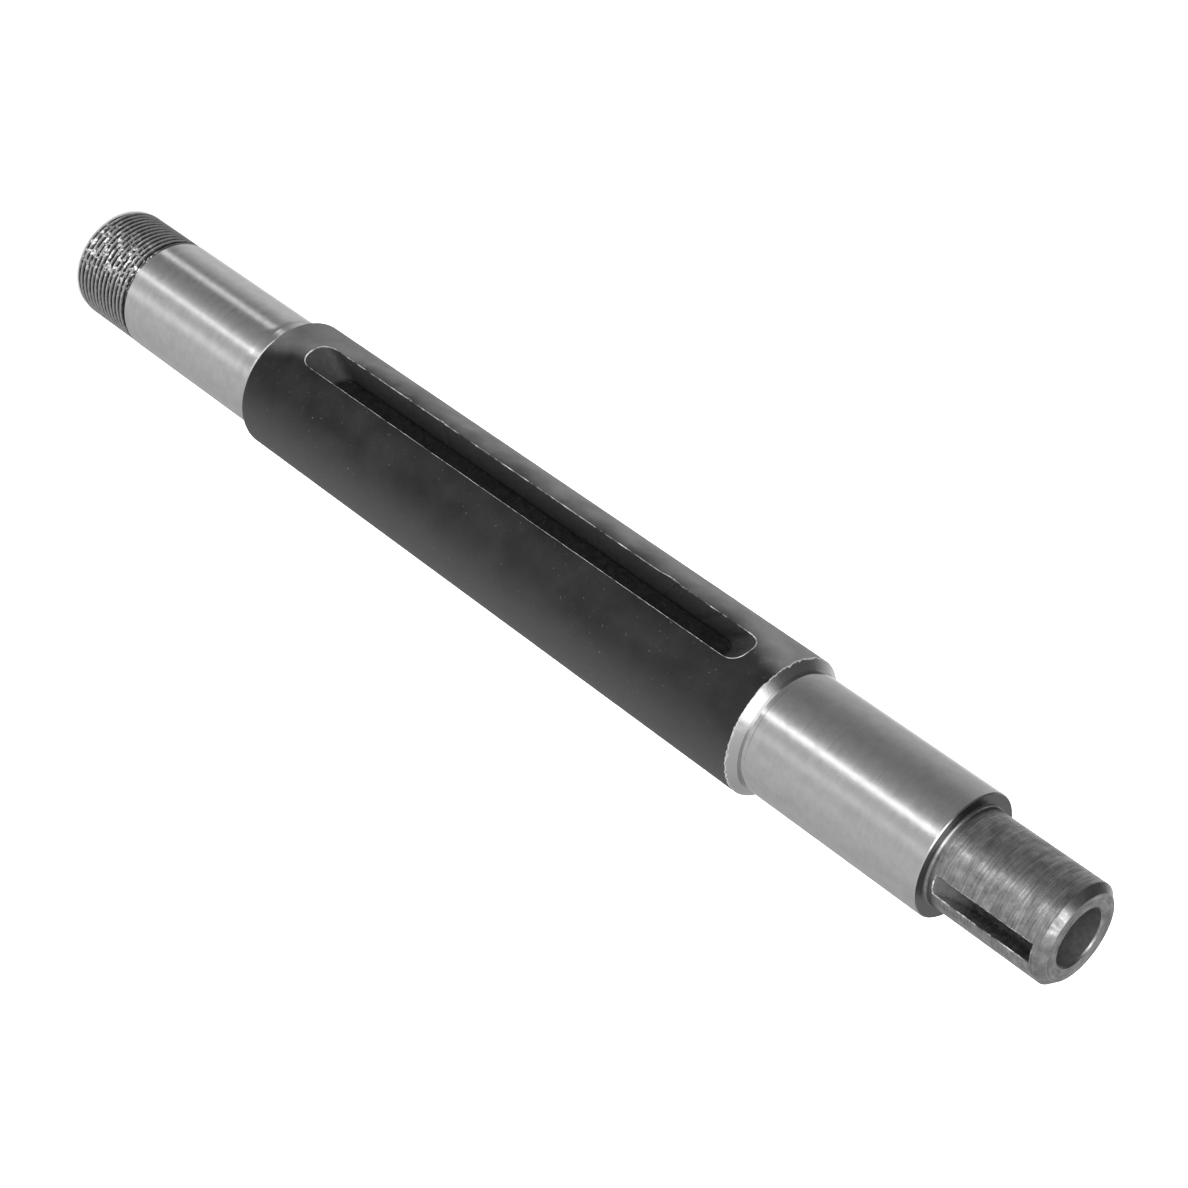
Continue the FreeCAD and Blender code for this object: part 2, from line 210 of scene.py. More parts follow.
def cutThread():
    # one groove and crest, spun up the axis by a pitch a turn, then turned down at both ends
    t = thread
    pitch = t["pitch"]
    halfRoot = t["root"] / 2
    flank = (1 - t["root"] - t["crest"]) / 2
    root = threadRadius - t["depth"] * pitch
    bottom = threadRadius - t["rootDepth"] * pitch
    waist = (root + threadRadius) / 2
    shape = [(bottom, 0), (root, halfRoot), (waist, halfRoot + flank / 2), (threadRadius, halfRoot + flank),
             (threadRadius, 1 - halfRoot - flank), (waist, 1 - halfRoot - flank / 2),
             (root, 1 - halfRoot), (bottom, 1)]
    start = -2               # pitches below the end, turned off again
    turns = math.ceil(rearLow / pitch) - start
    steps = blank["segments"]
    bm = bmesh.new()
    addRow(bm, [(radius, (start + share) * pitch) for radius, share in shape])
    bmesh.ops.spin(bm, geom=bm.verts[:] + bm.edges[:], cent=(0, 0, 0), axis=(0, 0, 1),
                   dvec=(0, 0, pitch * mm / steps), angle=math.tau * turns, steps=steps * turns)
    bmesh.ops.remove_doubles(bm, verts=bm.verts, dist=2e-6)
    for vert in bm.verts:
        z = vert.co.z / mm
        radius = vert.co.xy.length / mm
        wear = (noise.noise(vert.co / mm * t["wearPace"])
                + t["wearFine"] * noise.noise(vert.co / mm * t["wearFinePace"]))
        aside = math.atan2(vert.co.y, vert.co.x) - math.radians(t["knockedAndGlintSide"])
        knocksAndGlints = max(0, math.cos(aside)) ** t["hammeredFocus"]
        worn = radius - (t["batter"] + t["hammered"] * knocksAndGlints) * max(0, wear) * (radius > waist)
        limit = min(threadRadius - t["chamfer"] + z, max(t["groove"], threadRadius + threadHigh - z))
        vert.co.xy *= min(worn, limit) / radius
    for height, side in ((0, -1), (rearLow - 2 * t["gap"], 1)):
        bmesh.ops.bisect_plane(bm, geom=bm.verts[:] + bm.edges[:] + bm.faces[:], dist=1e-7,
                               plane_co=(0, 0, height * mm), plane_no=(0, 0, side), clear_outer=True)
    return bm


def joinRims(bm, low, high):
    # closes the narrow gap between two open rims that lie between these heights
    near = [edge for edge in bm.edges if edge.is_boundary
            and all(low < vert.co.z / mm < high for vert in edge.verts)]
    bmesh.ops.bridge_loops(bm, edges=near)


def finishOf(face):
    centre = face.calc_center_median() / mm
    radius = centre.xy.length
    if centre.z < rearLow:
        return "thread"
    if centre.z < rearShoulder:
        return "ground"
    if centre.z < bodyHigh + blank["frontBevel"] and radius > frontRadius - 0.1:
        return "scale"
    if radius < boreRadius + 0.1:
        return "bore"
    if centre.z < spigotShoulder - close:
        return "ground"
    return "turned"


def meshObject(name, bm):
    mesh = bpy.data.meshes.new(name)
    bm.to_mesh(mesh)
    bm.free()
    made = bpy.data.objects.new(name, mesh)
    bpy.context.scene.collection.objects.link(made)
    return made


longKeyway = {
    "width": 10.0,
    "floor": 10.8,           # distance from the axis
    "low": 100.5,            # ends of the mouth
    "high": 275.5,
    "lowRamp": 7.5,
    "highRamp": 10.3,
    "depth": 9.2,
    "above": 1.0,            # cutter above the crown
    "corner": 0.4,           # radius between floor and wall
    "square": 3.0,           # 2 gives round ends, more gives squarer ones
    "segments": 48,          # round the cutter
    "wander": 0.07,          # how far the mouth's long edges stray
    "calm": 0.5,             # share of that on the edge towards +X
    "restless": 1.3,         # and on the far one
    "pace": 0.55,            # waves a millimetre
    "steps": 210,            # along the edges
    # knocks in the far edge: height, reach, depth
    "nicks": [(136.1, 0.7, 0.30), (150.8, 0.8, 0.35), (196.0, 0.6, 0.20), (243.5, 4.1, 0.55),
              (262.0, 1.2, 0.15)],
}


def longCutter():
    # an end mill's path: roundish ends, the floor shorter than the mouth by the two ramps
    k = longKeyway
    bm = bmesh.new()
    count = k["segments"]
    corner = math.pi / count
    half = k["width"] / 2
    bmesh.ops.create_circle(bm, cap_ends=True, segments=count, radius=half * mm / math.cos(corner))
    bmesh.ops.rotate(bm, verts=bm.verts, matrix=Matrix.Rotation(corner, 3, "Z"))
    for vert in bm.verts:
        across, along = vert.co.x / vert.co.length, vert.co.y / vert.co.length
        vert.co /= (abs(across) ** k["square"] + abs(along) ** k["square"]) ** (1 / k["square"])
    bmesh.ops.rotate(bm, verts=bm.verts, matrix=Matrix.Rotation(math.pi / 2, 3, "X"))
    rise = k["above"] / k["depth"]
    outside = -(bodyRadius + k["above"]) * mm
    lowMouth = k["low"] - k["lowRamp"] * rise + half
    highMouth = k["high"] + k["highRamp"] * rise - half
    for vert in bm.verts:
        vert.co += Vector((0, outside, (highMouth if vert.co.z > 0 else lowMouth) * mm))
    lid = bm.faces[:]
    made = bmesh.ops.extrude_face_region(bm, geom=lid)["geom"]
    floor = [item for item in made if isinstance(item, bmesh.types.BMVert)]
    middle = (lowMouth + highMouth) / 2 * mm
    for vert in floor:
        upper = vert.co.z > middle
        shift = -k["highRamp"] if upper else k["lowRamp"]
        vert.co.y = -k["floor"] * mm
        vert.co.z += shift * (1 + rise) * mm
    floorFace = [item for item in made if isinstance(item, bmesh.types.BMFace)]
    bmesh.ops.bevel(bm, geom=floorFace[0].edges[:], offset=k["corner"] * mm, segments=2, profile=0.5,
                    affect="EDGES", material=-1)
    # the mouth's long edges wander, and the far one is nicked
    reach = (k["high"] - k["low"]) / 2 * mm
    long = [edge for edge in bm.edges if abs(edge.verts[0].co.z - edge.verts[1].co.z) > reach]
    bmesh.ops.subdivide_edges(bm, edges=long, cuts=k["steps"], use_grid_fill=True)
    for vert in bm.verts:
        z = vert.co.z / mm
        if abs(vert.co.x) > (half - 0.05) * mm and vert.co.y < outside + 0.5 * mm:
            side = 1 if vert.co.x > 0 else -1
            share = k["calm"] if side > 0 else k["restless"]
            shift = k["wander"] * share * noise.noise((3.1 * side, 0.4, z * k["pace"]))
            if side < 0:
                shift += sum(depth * max(0, 1 - ((z - height) / reach) ** 2)
                             for height, reach, depth in k["nicks"])
            vert.co.x += side * shift * mm
    bmesh.ops.recalc_face_normals(bm, faces=bm.faces)
    for face in bm.faces:
        face.material_index = slotOf["milled"]
    return meshObject("long_keyway_cutter", bm)


spigotKeyway = {
    "width": 5.6,
    "floor": 10.0,
    "floorLow": 360.7,
    "high": 378.3,
    "cutter": 20.0,          # radius of the disc cutter
    "arcSteps": 14,
    "turn": -14.0,           # degrees from +X
    "above": 1.0,
}


def spigotCutter():
    # side view of the disc cutter's path, drawn out to both sides and turned to its place
    k = spigotKeyway
    outside = spigotRadius + k["above"]
    centre = Vector(((k["floor"] + k["cutter"]) * mm, 0, k["floorLow"] * mm))
    sweep = math.acos(1 - (outside - k["floor"]) / k["cutter"])
    bm = bmesh.new()
    first = bm.verts.new((k["floor"] * mm, 0, k["floorLow"] * mm))
    bmesh.ops.spin(bm, geom=[first], cent=centre, axis=(0, -1, 0), angle=sweep, steps=k["arcSteps"])
    last = min(bm.verts, key=lambda vert: vert.co.z)
    corners = [bm.verts.new((radius * mm, 0, k["high"] * mm)) for radius in (outside, k["floor"])]
    bm.edges.new((last, corners[0]))
    bm.edges.new(corners)
    bm.edges.new((corners[1], first))
    side = bmesh.ops.contextual_create(bm, geom=bm.edges[:])["faces"]
    made = bmesh.ops.extrude_face_region(bm, geom=side)["geom"]
    half = k["width"] / 2 * mm
    moved = [item for item in made if isinstance(item, bmesh.types.BMVert)]
    for vert in bm.verts:
        vert.co.y = -half
    for vert in moved:
        vert.co.y = half
    bmesh.ops.rotate(bm, verts=bm.verts, matrix=Matrix.Rotation(math.radians(k["turn"]), 3, "Z"))
    bmesh.ops.recalc_face_normals(bm, faces=bm.faces)
    for face in bm.faces:
        face.material_index = slotOf["slot"]
    return meshObject("spigot_keyway_cutter", bm)


rims = {
    "width": 0.21,           # rubbed edge round a keyway
    "sharp": 32,             # degrees above which an edge shades sharp
}


def breakRims(bm):
    # rubbed, slightly wandering edge where a keyway runs out through the skin
    inside = {slotOf["milled"], slotOf["slot"]}
    bmesh.ops.dissolve_degenerate(bm, dist=0.02 * mm, edges=bm.edges)
    rim = [edge for edge in bm.edges if len(edge.link_faces) == 2
           and (edge.link_faces[0].material_index in inside) != (edge.link_faces[1].material_index in inside)]
    bmesh.ops.bevel(bm, geom=rim, offset=rims["width"] * mm, segments=2, profile=0.5,
                    affect="EDGES", material=slotOf["burr"], clamp_overlap=False)


def buildShaft():
    bm = cutThread()
    print("thread:", len(bm.faces), "faces")
    lathe = bmesh.new()
    turnBlank(lathe)
    print("turned blank:", len(lathe.faces), "faces")
    spare = bpy.data.meshes.new("spare")
    lathe.to_mesh(spare)
    lathe.free()
    bm.from_mesh(spare)
    bpy.data.meshes.remove(spare)
    joinRims(bm, -0.01, 0.01)
    joinRims(bm, rearLow - 3 * thread["gap"], rearLow - thread["gap"] / 2)
    bmesh.ops.recalc_face_normals(bm, faces=bm.faces)
    for face in bm.faces:
        face.material_index = slotOf[finishOf(face)]
    shaft = meshObject("steering_shaft_finish", bm)
    cutters = [longCutter(), spigotCutter()]
    for cutter in cutters:
        cut = shaft.modifiers.new(cutter.name, "BOOLEAN")
        cut.operation = "DIFFERENCE"
        cut.solver = "EXACT"
        cut.material_mode = "INDEX"
        cut.object = cutter
    for piece in [shaft] + cutters:
        for name in finishes:
            piece.data.materials.append(materials[name])
    cutMesh = bpy.data.meshes.new_from_object(shaft.evaluated_get(bpy.context.evaluated_depsgraph_get()))
    shaft.modifiers.clear()
    shaft.data = cutMesh
    for cutter in cutters:
        bpy.data.objects.remove(cutter)
    print("keyways cut:", len(cutMesh.polygons), "faces")
    bm = bmesh.new()
    bm.from_mesh(cutMesh)
    breakRims(bm)
    openEdges = sum(1 for edge in bm.edges if not edge.is_manifold)
    volume = round(bm.calc_volume() * 1e6, 2)
    print("rims rubbed:", len(bm.faces), "faces,", openEdges, "open edges,", volume, "cm3")
    for face in bm.faces:
        face.smooth = True
    bm.to_mesh(cutMesh)
    bm.free()
    cutMesh.set_sharp_from_angle(angle=math.radians(rims["sharp"]))
    return shaft


# sizes of the marks in each finish, in millimetres
patterns = {
    "oxideClouds": 9,
    "oxideGrain": 0.6,       # real grain is a tenth of this, drawn coarser to show
    "oxideDust": 1.1,
    "sheenEdge": 11,
    "tornSkin": 2.2,
    "grindingLength": 14,
    "grindingWidth": 0.4,    # real wheel marks are about 0.03 wide, drawn coarser to show
    "groundPatches": 3.3,
    "groundGrain": 0.3,      # coarser than real as well
    "feedPitch": 0.42,       # a lathe's feed is nearer 0.15, drawn coarser to show
    "turningLength": 8,
    "turningWidth": 0.38,
    "turnedPatches": 2.9,
    "turnedPits": 0.6,
    "threadGrime": 1.25,
    "threadChips": 0.77,
    "chipStretch": 2.2,      # chips are this much longer along a crest
    "keywayPatches": 1.4,
    "keywayFlecks": 0.45,
    "rubbedDashes": 3.3,
}

# height of the marks in each finish, in millimetres
reliefs = {
    "scale": 0.022,
    "ground": 0.019,
    "turned": 0.03,
    "thread": 0.07,
    "milled": 0.08,
    "rubbed": 0.05,
}

# painted sheen on the black body: two sides of it painted a lighter grey
paintedSheen = {
    "side": -150,            # degrees from +X, where it is strongest
    "faintSide": 30,
    "rearReach": 30,         # it widens this near to each end of the body, by this much
    "rearWider": 0.55,
    "frontReach": 19,
    "frontWider": 0.26,
    "rearStrength": 0.62,   # and is fainter towards the rear one
    "stray": 0.07,           # unevenness of its edge
}


def hexColour(code):
    parts = [int(code[i:i + 2], 16) / 255 for i in (0, 2, 4)]
    return [part / 12.92 if part <= 0.04045 else ((part + 0.055) / 1.055) ** 2.4 for part in parts] + [1]


def addNode(tree, kind, inputs=None, stops=None, **settings):
    # a node with its settings; an input is a value, or another node's output to link
    node = tree.nodes.new(kind)
    for name, value in settings.items():
        setattr(node, name, value)
    for socket, value in (inputs or {}).items():
        if isinstance(value, bpy.types.NodeSocket):
            tree.links.new(value, node.inputs[socket])
        else:
            node.inputs[socket].default_value = value
    if stops:
        ramp = node.color_ramp
        ends = (ramp.elements[0], ramp.elements[1])
        ends[0].position, ends[1].position = stops[0][0], stops[-1][0]
        for place, _ in stops[1:-1]:
            ramp.elements.new(place)
        for element, (_, colour) in zip(ramp.elements, stops):
            element.color = colour if not isinstance(colour, (int, float)) else (colour, colour, colour, 1)
    return node


def connect(tree, surface, sockets):
    for socket, value in sockets.items():
        tree.links.new(value, surface.inputs[socket])


def newMaterial(name):
    # an empty finish, and the place on the shaft in millimetres
    material = bpy.data.materials.new(name)
    material.use_nodes = True
    tree = material.node_tree
    tree.nodes.clear()
    surface = addNode(tree, "ShaderNodeBsdfPrincipled")
    addNode(tree, "ShaderNodeOutputMaterial", {"Surface": surface.outputs[0]})
    spot = addNode(tree, "ShaderNodeTexCoord").outputs["Object"]
    place = addNode(tree, "ShaderNodeVectorMath", {0: spot, 1: (1 / mm, 1 / mm, 1 / mm)}, operation="MULTIPLY")
    return material, tree, surface, place.outputs[0]


def towardSide(tree, place, angle, radius, low, high, shift=0):
    # 0 to 1 towards one side of the shaft: degrees from +X, then the cosines between which it grows
    turn = math.radians(angle)
    facing = addNode(tree, "ShaderNodeVectorMath",
                     {0: place, 1: (math.cos(turn) / radius, math.sin(turn) / radius, 0)},
                     operation="DOT_PRODUCT")
    shifted = addNode(tree, "ShaderNodeMath", {0: facing.outputs["Value"], 1: shift}, operation="ADD")
    return addNode(tree, "ShaderNodeMapRange", {0: shifted.outputs[0], 1: low, 2: high},
                   interpolation_type="SMOOTHSTEP").outputs[0]


def blackMillScale():
    # hot-rolled bar left black: a thin oxide with soft clouds, a painted sheen lighter on two sides,
    # specks, and bare steel on the bevel
    material, tree, surface, place = newMaterial("black mill scale")
    surface.inputs["Specular IOR Level"].default_value = 0.26
    clouds = addNode(tree, "ShaderNodeTexNoise",
                     {"Vector": place, "Scale": 1 / patterns["oxideClouds"], "Detail": 4, "Roughness": 0.55})
    grain = addNode(tree, "ShaderNodeTexNoise",
                    {"Vector": place, "Scale": 1 / patterns["oxideGrain"], "Detail": 5, "Roughness": 0.65})
    dust = addNode(tree, "ShaderNodeTexNoise",
                   {"Vector": place, "Scale": 1 / patterns["oxideDust"], "Detail": 3, "Roughness": 0.8})
    height = addNode(tree, "ShaderNodeSeparateXYZ", {0: place}).outputs[2]
    # the oxide is blackest at the rear end
    lighter = addNode(tree, "ShaderNodeMapRange", {0: height, 1: bodyLow, 2: bodyLow + 45, 3: -0.25, 4: 0})
    shade = addNode(tree, "ShaderNodeMath", {0: clouds.outputs[0], 1: lighter.outputs[0]}, operation="ADD")
    tone = addNode(tree, "ShaderNodeValToRGB", {0: shade.outputs[0]},
                   stops=[(0.1, hexColour("090909")), (0.3, hexColour("121212")), (0.7, hexColour("202020"))])
    sheenStrength = addNode(tree, "ShaderNodeMapRange", {0: clouds.outputs[0], 1: 0.3, 2: 0.7, 3: 0.72, 4: 1.15})
    # the painted sheen reaches farther round at both ends of the body
    rear = addNode(tree, "ShaderNodeMapRange", {0: height, 1: bodyLow + paintedSheen["rearReach"], 2: bodyLow + 2,
                                                 4: paintedSheen["rearWider"]})
    front = addNode(tree, "ShaderNodeMapRange", {0: height, 1: bodyHigh - paintedSheen["frontReach"], 2: bodyHigh,
                                                  4: paintedSheen["frontWider"]})
    ends = addNode(tree, "ShaderNodeMath", {0: rear.outputs[0], 1: front.outputs[0]}, operation="ADD")
    uneven = addNode(tree, "ShaderNodeTexNoise",
                     {"Vector": place, "Scale": 1 / patterns["sheenEdge"], "Detail": 6, "Roughness": 0.6})
    stray = addNode(tree, "ShaderNodeMapRange", {0: uneven.outputs[0], 1: 0.3, 2: 0.7, 3: -paintedSheen["stray"],
                                                  4: paintedSheen["stray"]})
    wider = addNode(tree, "ShaderNodeMath", {0: ends.outputs[0], 1: stray.outputs[0]}, operation="ADD")
    # painted sheen: the side towards -150 degrees is painted a lighter grey
    upper = towardSide(tree, place, paintedSheen["side"], bodyRadius, 0.6, 0.98, wider.outputs[0])
    upper = addNode(tree, "ShaderNodeMath", {0: upper, 1: sheenStrength.outputs[0]}, operation="MULTIPLY")
    fainterRear = addNode(tree, "ShaderNodeMapRange", {0: rear.outputs[0], 1: 0, 2: paintedSheen["rearWider"], 3: 1,
                                                    4: paintedSheen["rearStrength"]})
    upper = addNode(tree, "ShaderNodeMath", {0: upper.outputs[0], 1: fainterRear.outputs[0]}, operation="MULTIPLY")
    sheened = addNode(tree, "ShaderNodeMix", {0: upper.outputs[0], 6: tone.outputs[0], 7: hexColour("656565")},
                    data_type="RGBA")
    # a fainter painted sheen: the side towards +30 degrees is painted a lighter grey
    faintSheen = towardSide(tree, place, paintedSheen["faintSide"], bodyRadius, 0.2, 1.0)
    sheenedBothSides = addNode(tree, "ShaderNodeMix", {0: faintSheen, 6: sheened.outputs[2], 7: hexColour("383838")},
                     data_type="RGBA")
    speck = addNode(tree, "ShaderNodeMapRange", {0: dust.outputs[0], 1: 0.68, 2: 0.74, 4: 0.8})
    skin = addNode(tree, "ShaderNodeMix", {0: speck.outputs[0], 6: sheenedBothSides.outputs[2], 7: hexColour("7a7a7a")},
                   data_type="RGBA")
    # the skin ends in a torn line just before the bevel
    torn = addNode(tree, "ShaderNodeTexNoise",
                   {"Vector": place, "Scale": 1 / patterns["tornSkin"], "Detail": 5, "Roughness": 0.7})
    edge = addNode(tree, "ShaderNodeMath", {0: torn.outputs[0], 1: 1.8, 2: height}, operation="MULTIPLY_ADD")
    bare = addNode(tree, "ShaderNodeMapRange", {0: edge.outputs[0], 1: bodyHigh + 0.82, 2: bodyHigh + 0.94})
    # rough and pale right at the tear, clean metal beyond it
    clean = addNode(tree, "ShaderNodeMapRange",
                    {0: edge.outputs[0], 1: bodyHigh + 0.98, 2: bodyHigh + 1.15, 3: 0.6})
    metal = addNode(tree, "ShaderNodeMath", {0: bare.outputs[0], 1: clean.outputs[0]}, operation="MULTIPLY")
    colour = addNode(tree, "ShaderNodeMix", {0: bare.outputs[0], 6: skin.outputs[2], 7: hexColour("c2c2c2")},
                     data_type="RGBA")
    dull = addNode(tree, "ShaderNodeMapRange", {0: grain.outputs[0], 1: 0.3, 2: 0.7, 3: 0.42, 4: 0.55})
    rough = addNode(tree, "ShaderNodeMix", {0: bare.outputs[0], 2: dull.outputs[0], 3: 0.25})
    relief = addNode(tree, "ShaderNodeMath", {0: grain.outputs[0], 1: clouds.outputs[0]}, operation="ADD")
    bump = addNode(tree, "ShaderNodeBump",
                   {"Height": relief.outputs[0], "Strength": 1, "Distance": reliefs["scale"] * mm})
    connect(tree, surface, {"Base Color": colour.outputs[2], "Metallic": metal.outputs[0],
                            "Roughness": rough.outputs[0], "Normal": bump.outputs[0]})
    return material


def groundSteel():
    # cylindrically ground steel: fine marks round the shaft stretch each reflection into a streak along it
    material, tree, surface, place = newMaterial("ground steel")
    surface.inputs["Metallic"].default_value = 1
    surface.inputs["Anisotropic"].default_value = 0.5
    long, wide = 1 / patterns["grindingLength"], 1 / patterns["grindingWidth"]
    ringwise = addNode(tree, "ShaderNodeVectorMath", {0: place, 1: (long, long, wide)}, operation="MULTIPLY")
    marks = addNode(tree, "ShaderNodeTexNoise", {"Vector": ringwise.outputs[0], "Scale": 1, "Detail": 3})
    mottle = addNode(tree, "ShaderNodeTexNoise",
                     {"Vector": place, "Scale": 1 / patterns["groundPatches"], "Detail": 5, "Roughness": 0.6})
    pits = addNode(tree, "ShaderNodeTexNoise",
                   {"Vector": place, "Scale": 1 / patterns["groundGrain"], "Detail": 3, "Roughness": 0.6})
    mixed = addNode(tree, "ShaderNodeMix", {0: 0.3, 2: mottle.outputs[0], 3: marks.outputs[0]})
    tone = addNode(tree, "ShaderNodeValToRGB", {0: mixed.outputs[0]},
                   stops=[(0.32, hexColour("bfbfbf")), (0.5, hexColour("c8c8c8")), (0.68, hexColour("cfcfcf"))])
    # each mark is a little duller or brighter than the next, which feathers the edges of a reflection
    rough = addNode(tree, "ShaderNodeMapRange", {0: marks.outputs[0], 1: 0.32, 2: 0.68, 3: 0.09, 4: 0.21})
    relief = addNode(tree, "ShaderNodeMath", {0: marks.outputs[0], 1: 0.8, 2: pits.outputs[0]},
                     operation="MULTIPLY_ADD")
    bump = addNode(tree, "ShaderNodeBump",
                   {"Height": relief.outputs[0], "Strength": 1, "Distance": reliefs["ground"] * mm})
    connect(tree, surface, {"Base Color": tone.outputs[0], "Roughness": rough.outputs[0],
                            "Normal": bump.outputs[0]})
    return material


def turnedSteel():
    # lathe-turned steel, a little stained: the tool's feed lines show as rings, over dull grey patches
    material, tree, surface, place = newMaterial("turned steel")
    surface.inputs["Metallic"].default_value = 1
    surface.inputs["Anisotropic"].default_value = 0.4
    axes = addNode(tree, "ShaderNodeSeparateXYZ", {0: place}).outputs
    height = axes[2]
    level = addNode(tree, "ShaderNodeVectorMath", {0: place, 1: (1, 1, 0)}, operation="MULTIPLY")
    radius = addNode(tree, "ShaderNodeVectorMath", {0: level.outputs[0]}, operation="LENGTH").outputs["Value"]
    travel = addNode(tree, "ShaderNodeMath", {0: height, 1: radius}, operation="ADD")
    feed = addNode(tree, "ShaderNodeMath", {0: travel.outputs[0], 1: math.tau / patterns["feedPitch"]},
                   operation="MULTIPLY")
    wave = addNode(tree, "ShaderNodeMath", {0: feed.outputs[0]}, operation="SINE")
    drawn = addNode(tree, "ShaderNodeCombineXYZ", {0: axes[0], 1: axes[1], 2: travel.outputs[0]})
    long, wide = 1 / patterns["turningLength"], 1 / patterns["turningWidth"]
    ringwise = addNode(tree, "ShaderNodeVectorMath", {0: drawn.outputs[0], 1: (long, long, wide)},
                       operation="MULTIPLY")
    marks = addNode(tree, "ShaderNodeTexNoise", {"Vector": ringwise.outputs[0], "Scale": 1, "Detail": 4})
    mottle = addNode(tree, "ShaderNodeTexNoise",
                     {"Vector": place, "Scale": 1 / patterns["turnedPatches"], "Detail": 6, "Roughness": 0.7})
    pits = addNode(tree, "ShaderNodeTexNoise",
                   {"Vector": place, "Scale": 1 / patterns["turnedPits"], "Detail": 3, "Roughness": 0.7})
    mixed = addNode(tree, "ShaderNodeMix", {0: 0.45, 2: mottle.outputs[0], 3: marks.outputs[0]})
    tone = addNode(tree, "ShaderNodeValToRGB", {0: mixed.outputs[0]},
                   stops=[(0.35, hexColour("6f6f6f")), (0.5, hexColour("989898")), (0.64, hexColour("bcbcbc"))])
    # painted shade: the spigot's shoulder face and the foot of its root are painted a darker grey
    corner = addNode(tree, "ShaderNodeMapRange", {0: height, 1: spigotShoulder + 0.02, 2: spigotShoulder + 0.5})
    shaded = addNode(tree, "ShaderNodeMix", {0: corner.outputs[0], 6: hexColour("6c6c6c"), 7: tone.outputs[0]},
                     data_type="RGBA")
    rough = addNode(tree, "ShaderNodeMapRange", {0: mixed.outputs[0], 1: 0.35, 2: 0.65, 3: 0.36, 4: 0.24})
    relief = addNode(tree, "ShaderNodeMath", {0: wave.outputs[0], 1: 0.12, 2: pits.outputs[0]},
                     operation="MULTIPLY_ADD")
    ringed = addNode(tree, "ShaderNodeMath", {0: marks.outputs[0], 1: relief.outputs[0]}, operation="ADD")
    bump = addNode(tree, "ShaderNodeBump",
                   {"Height": ringed.outputs[0], "Strength": 1, "Distance": reliefs["turned"] * mm})
    connect(tree, surface, {"Base Color": shaded.outputs[2], "Roughness": rough.outputs[0],
                            "Normal": bump.outputs[0]})
    return material


def cutThreadSteel():
    # screw-cut steel: bare battered crests over darker roots, with painted glints on the side where the highlight
    # falls
    material, tree, surface, place = newMaterial("screw-cut steel")
    axes = addNode(tree, "ShaderNodeSeparateXYZ", {0: place})
    flat = addNode(tree, "ShaderNodeCombineXYZ", {0: axes.outputs[0], 1: axes.outputs[1]})
    radius = addNode(tree, "ShaderNodeVectorMath", {0: flat.outputs[0]}, operation="LENGTH").outputs["Value"]
    grime = addNode(tree, "ShaderNodeTexNoise",
                    {"Vector": place, "Scale": 1 / patterns["threadGrime"], "Detail": 5, "Roughness": 0.7})
    depth = addNode(tree, "ShaderNodeMath", {0: grime.outputs[0], 1: 0.9, 2: radius}, operation="MULTIPLY_ADD")
    # darker towards the thread's roots, lighter towards the crests
    crest = addNode(tree, "ShaderNodeMapRange",
                    {0: depth.outputs[0], 1: threadRadius - 0.65, 2: threadRadius + 0.3})
    tone = addNode(tree, "ShaderNodeValToRGB", {0: crest.outputs[0]},
                   stops=[(0.0, hexColour("040404")), (0.42, hexColour("1e1e1e")), (0.72, hexColour("585858")),
                          (1.0, hexColour("8c8c8c"))])
    # knocks drawn out along the crests: painted glints, on the knocked side where the highlight falls
    turn = addNode(tree, "ShaderNodeMath", {0: axes.outputs[1], 1: axes.outputs[0]}, operation="ARCTAN2")
    arc = addNode(tree, "ShaderNodeMath", {0: turn.outputs[0], 1: threadRadius / patterns["chipStretch"]},
                  operation="MULTIPLY")
    along = addNode(tree, "ShaderNodeCombineXYZ", {0: arc.outputs[0], 1: axes.outputs[2]})
    chips = addNode(tree, "ShaderNodeTexNoise",
                    {"Vector": along.outputs[0], "Scale": 1 / patterns["threadChips"], "Detail": 4,
                     "Roughness": 0.7})
    chipGlints = addNode(tree, "ShaderNodeMapRange", {0: chips.outputs[0], 1: 0.53, 2: 0.6})
    knocksAndGlints = towardSide(tree, place, thread["knockedAndGlintSide"], threadRadius, 0.76, 0.98)
    paintedGlint = addNode(tree, "ShaderNodeMath", {0: knocksAndGlints, 1: chipGlints.outputs[0]}, operation="MULTIPLY")
    # painted glints: near-white dashes on the crests of the knocked side
    bright = addNode(tree, "ShaderNodeMix", {0: paintedGlint.outputs[0], 6: tone.outputs[0], 7: hexColour("ececec")},
                     data_type="RGBA")
    metal = addNode(tree, "ShaderNodeMapRange", {0: axes.outputs[2], 1: 1.2, 2: 1.9, 4: 0.6})
    rough = addNode(tree, "ShaderNodeMapRange", {0: crest.outputs[0], 3: 0.6, 4: 0.34})
    bump = addNode(tree, "ShaderNodeBump",
                   {"Height": grime.outputs[0], "Strength": 1, "Distance": reliefs["thread"] * mm})
    connect(tree, surface, {"Base Color": bright.outputs[2], "Metallic": metal.outputs[0],
                            "Roughness": rough.outputs[0], "Normal": bump.outputs[0]})
    return material


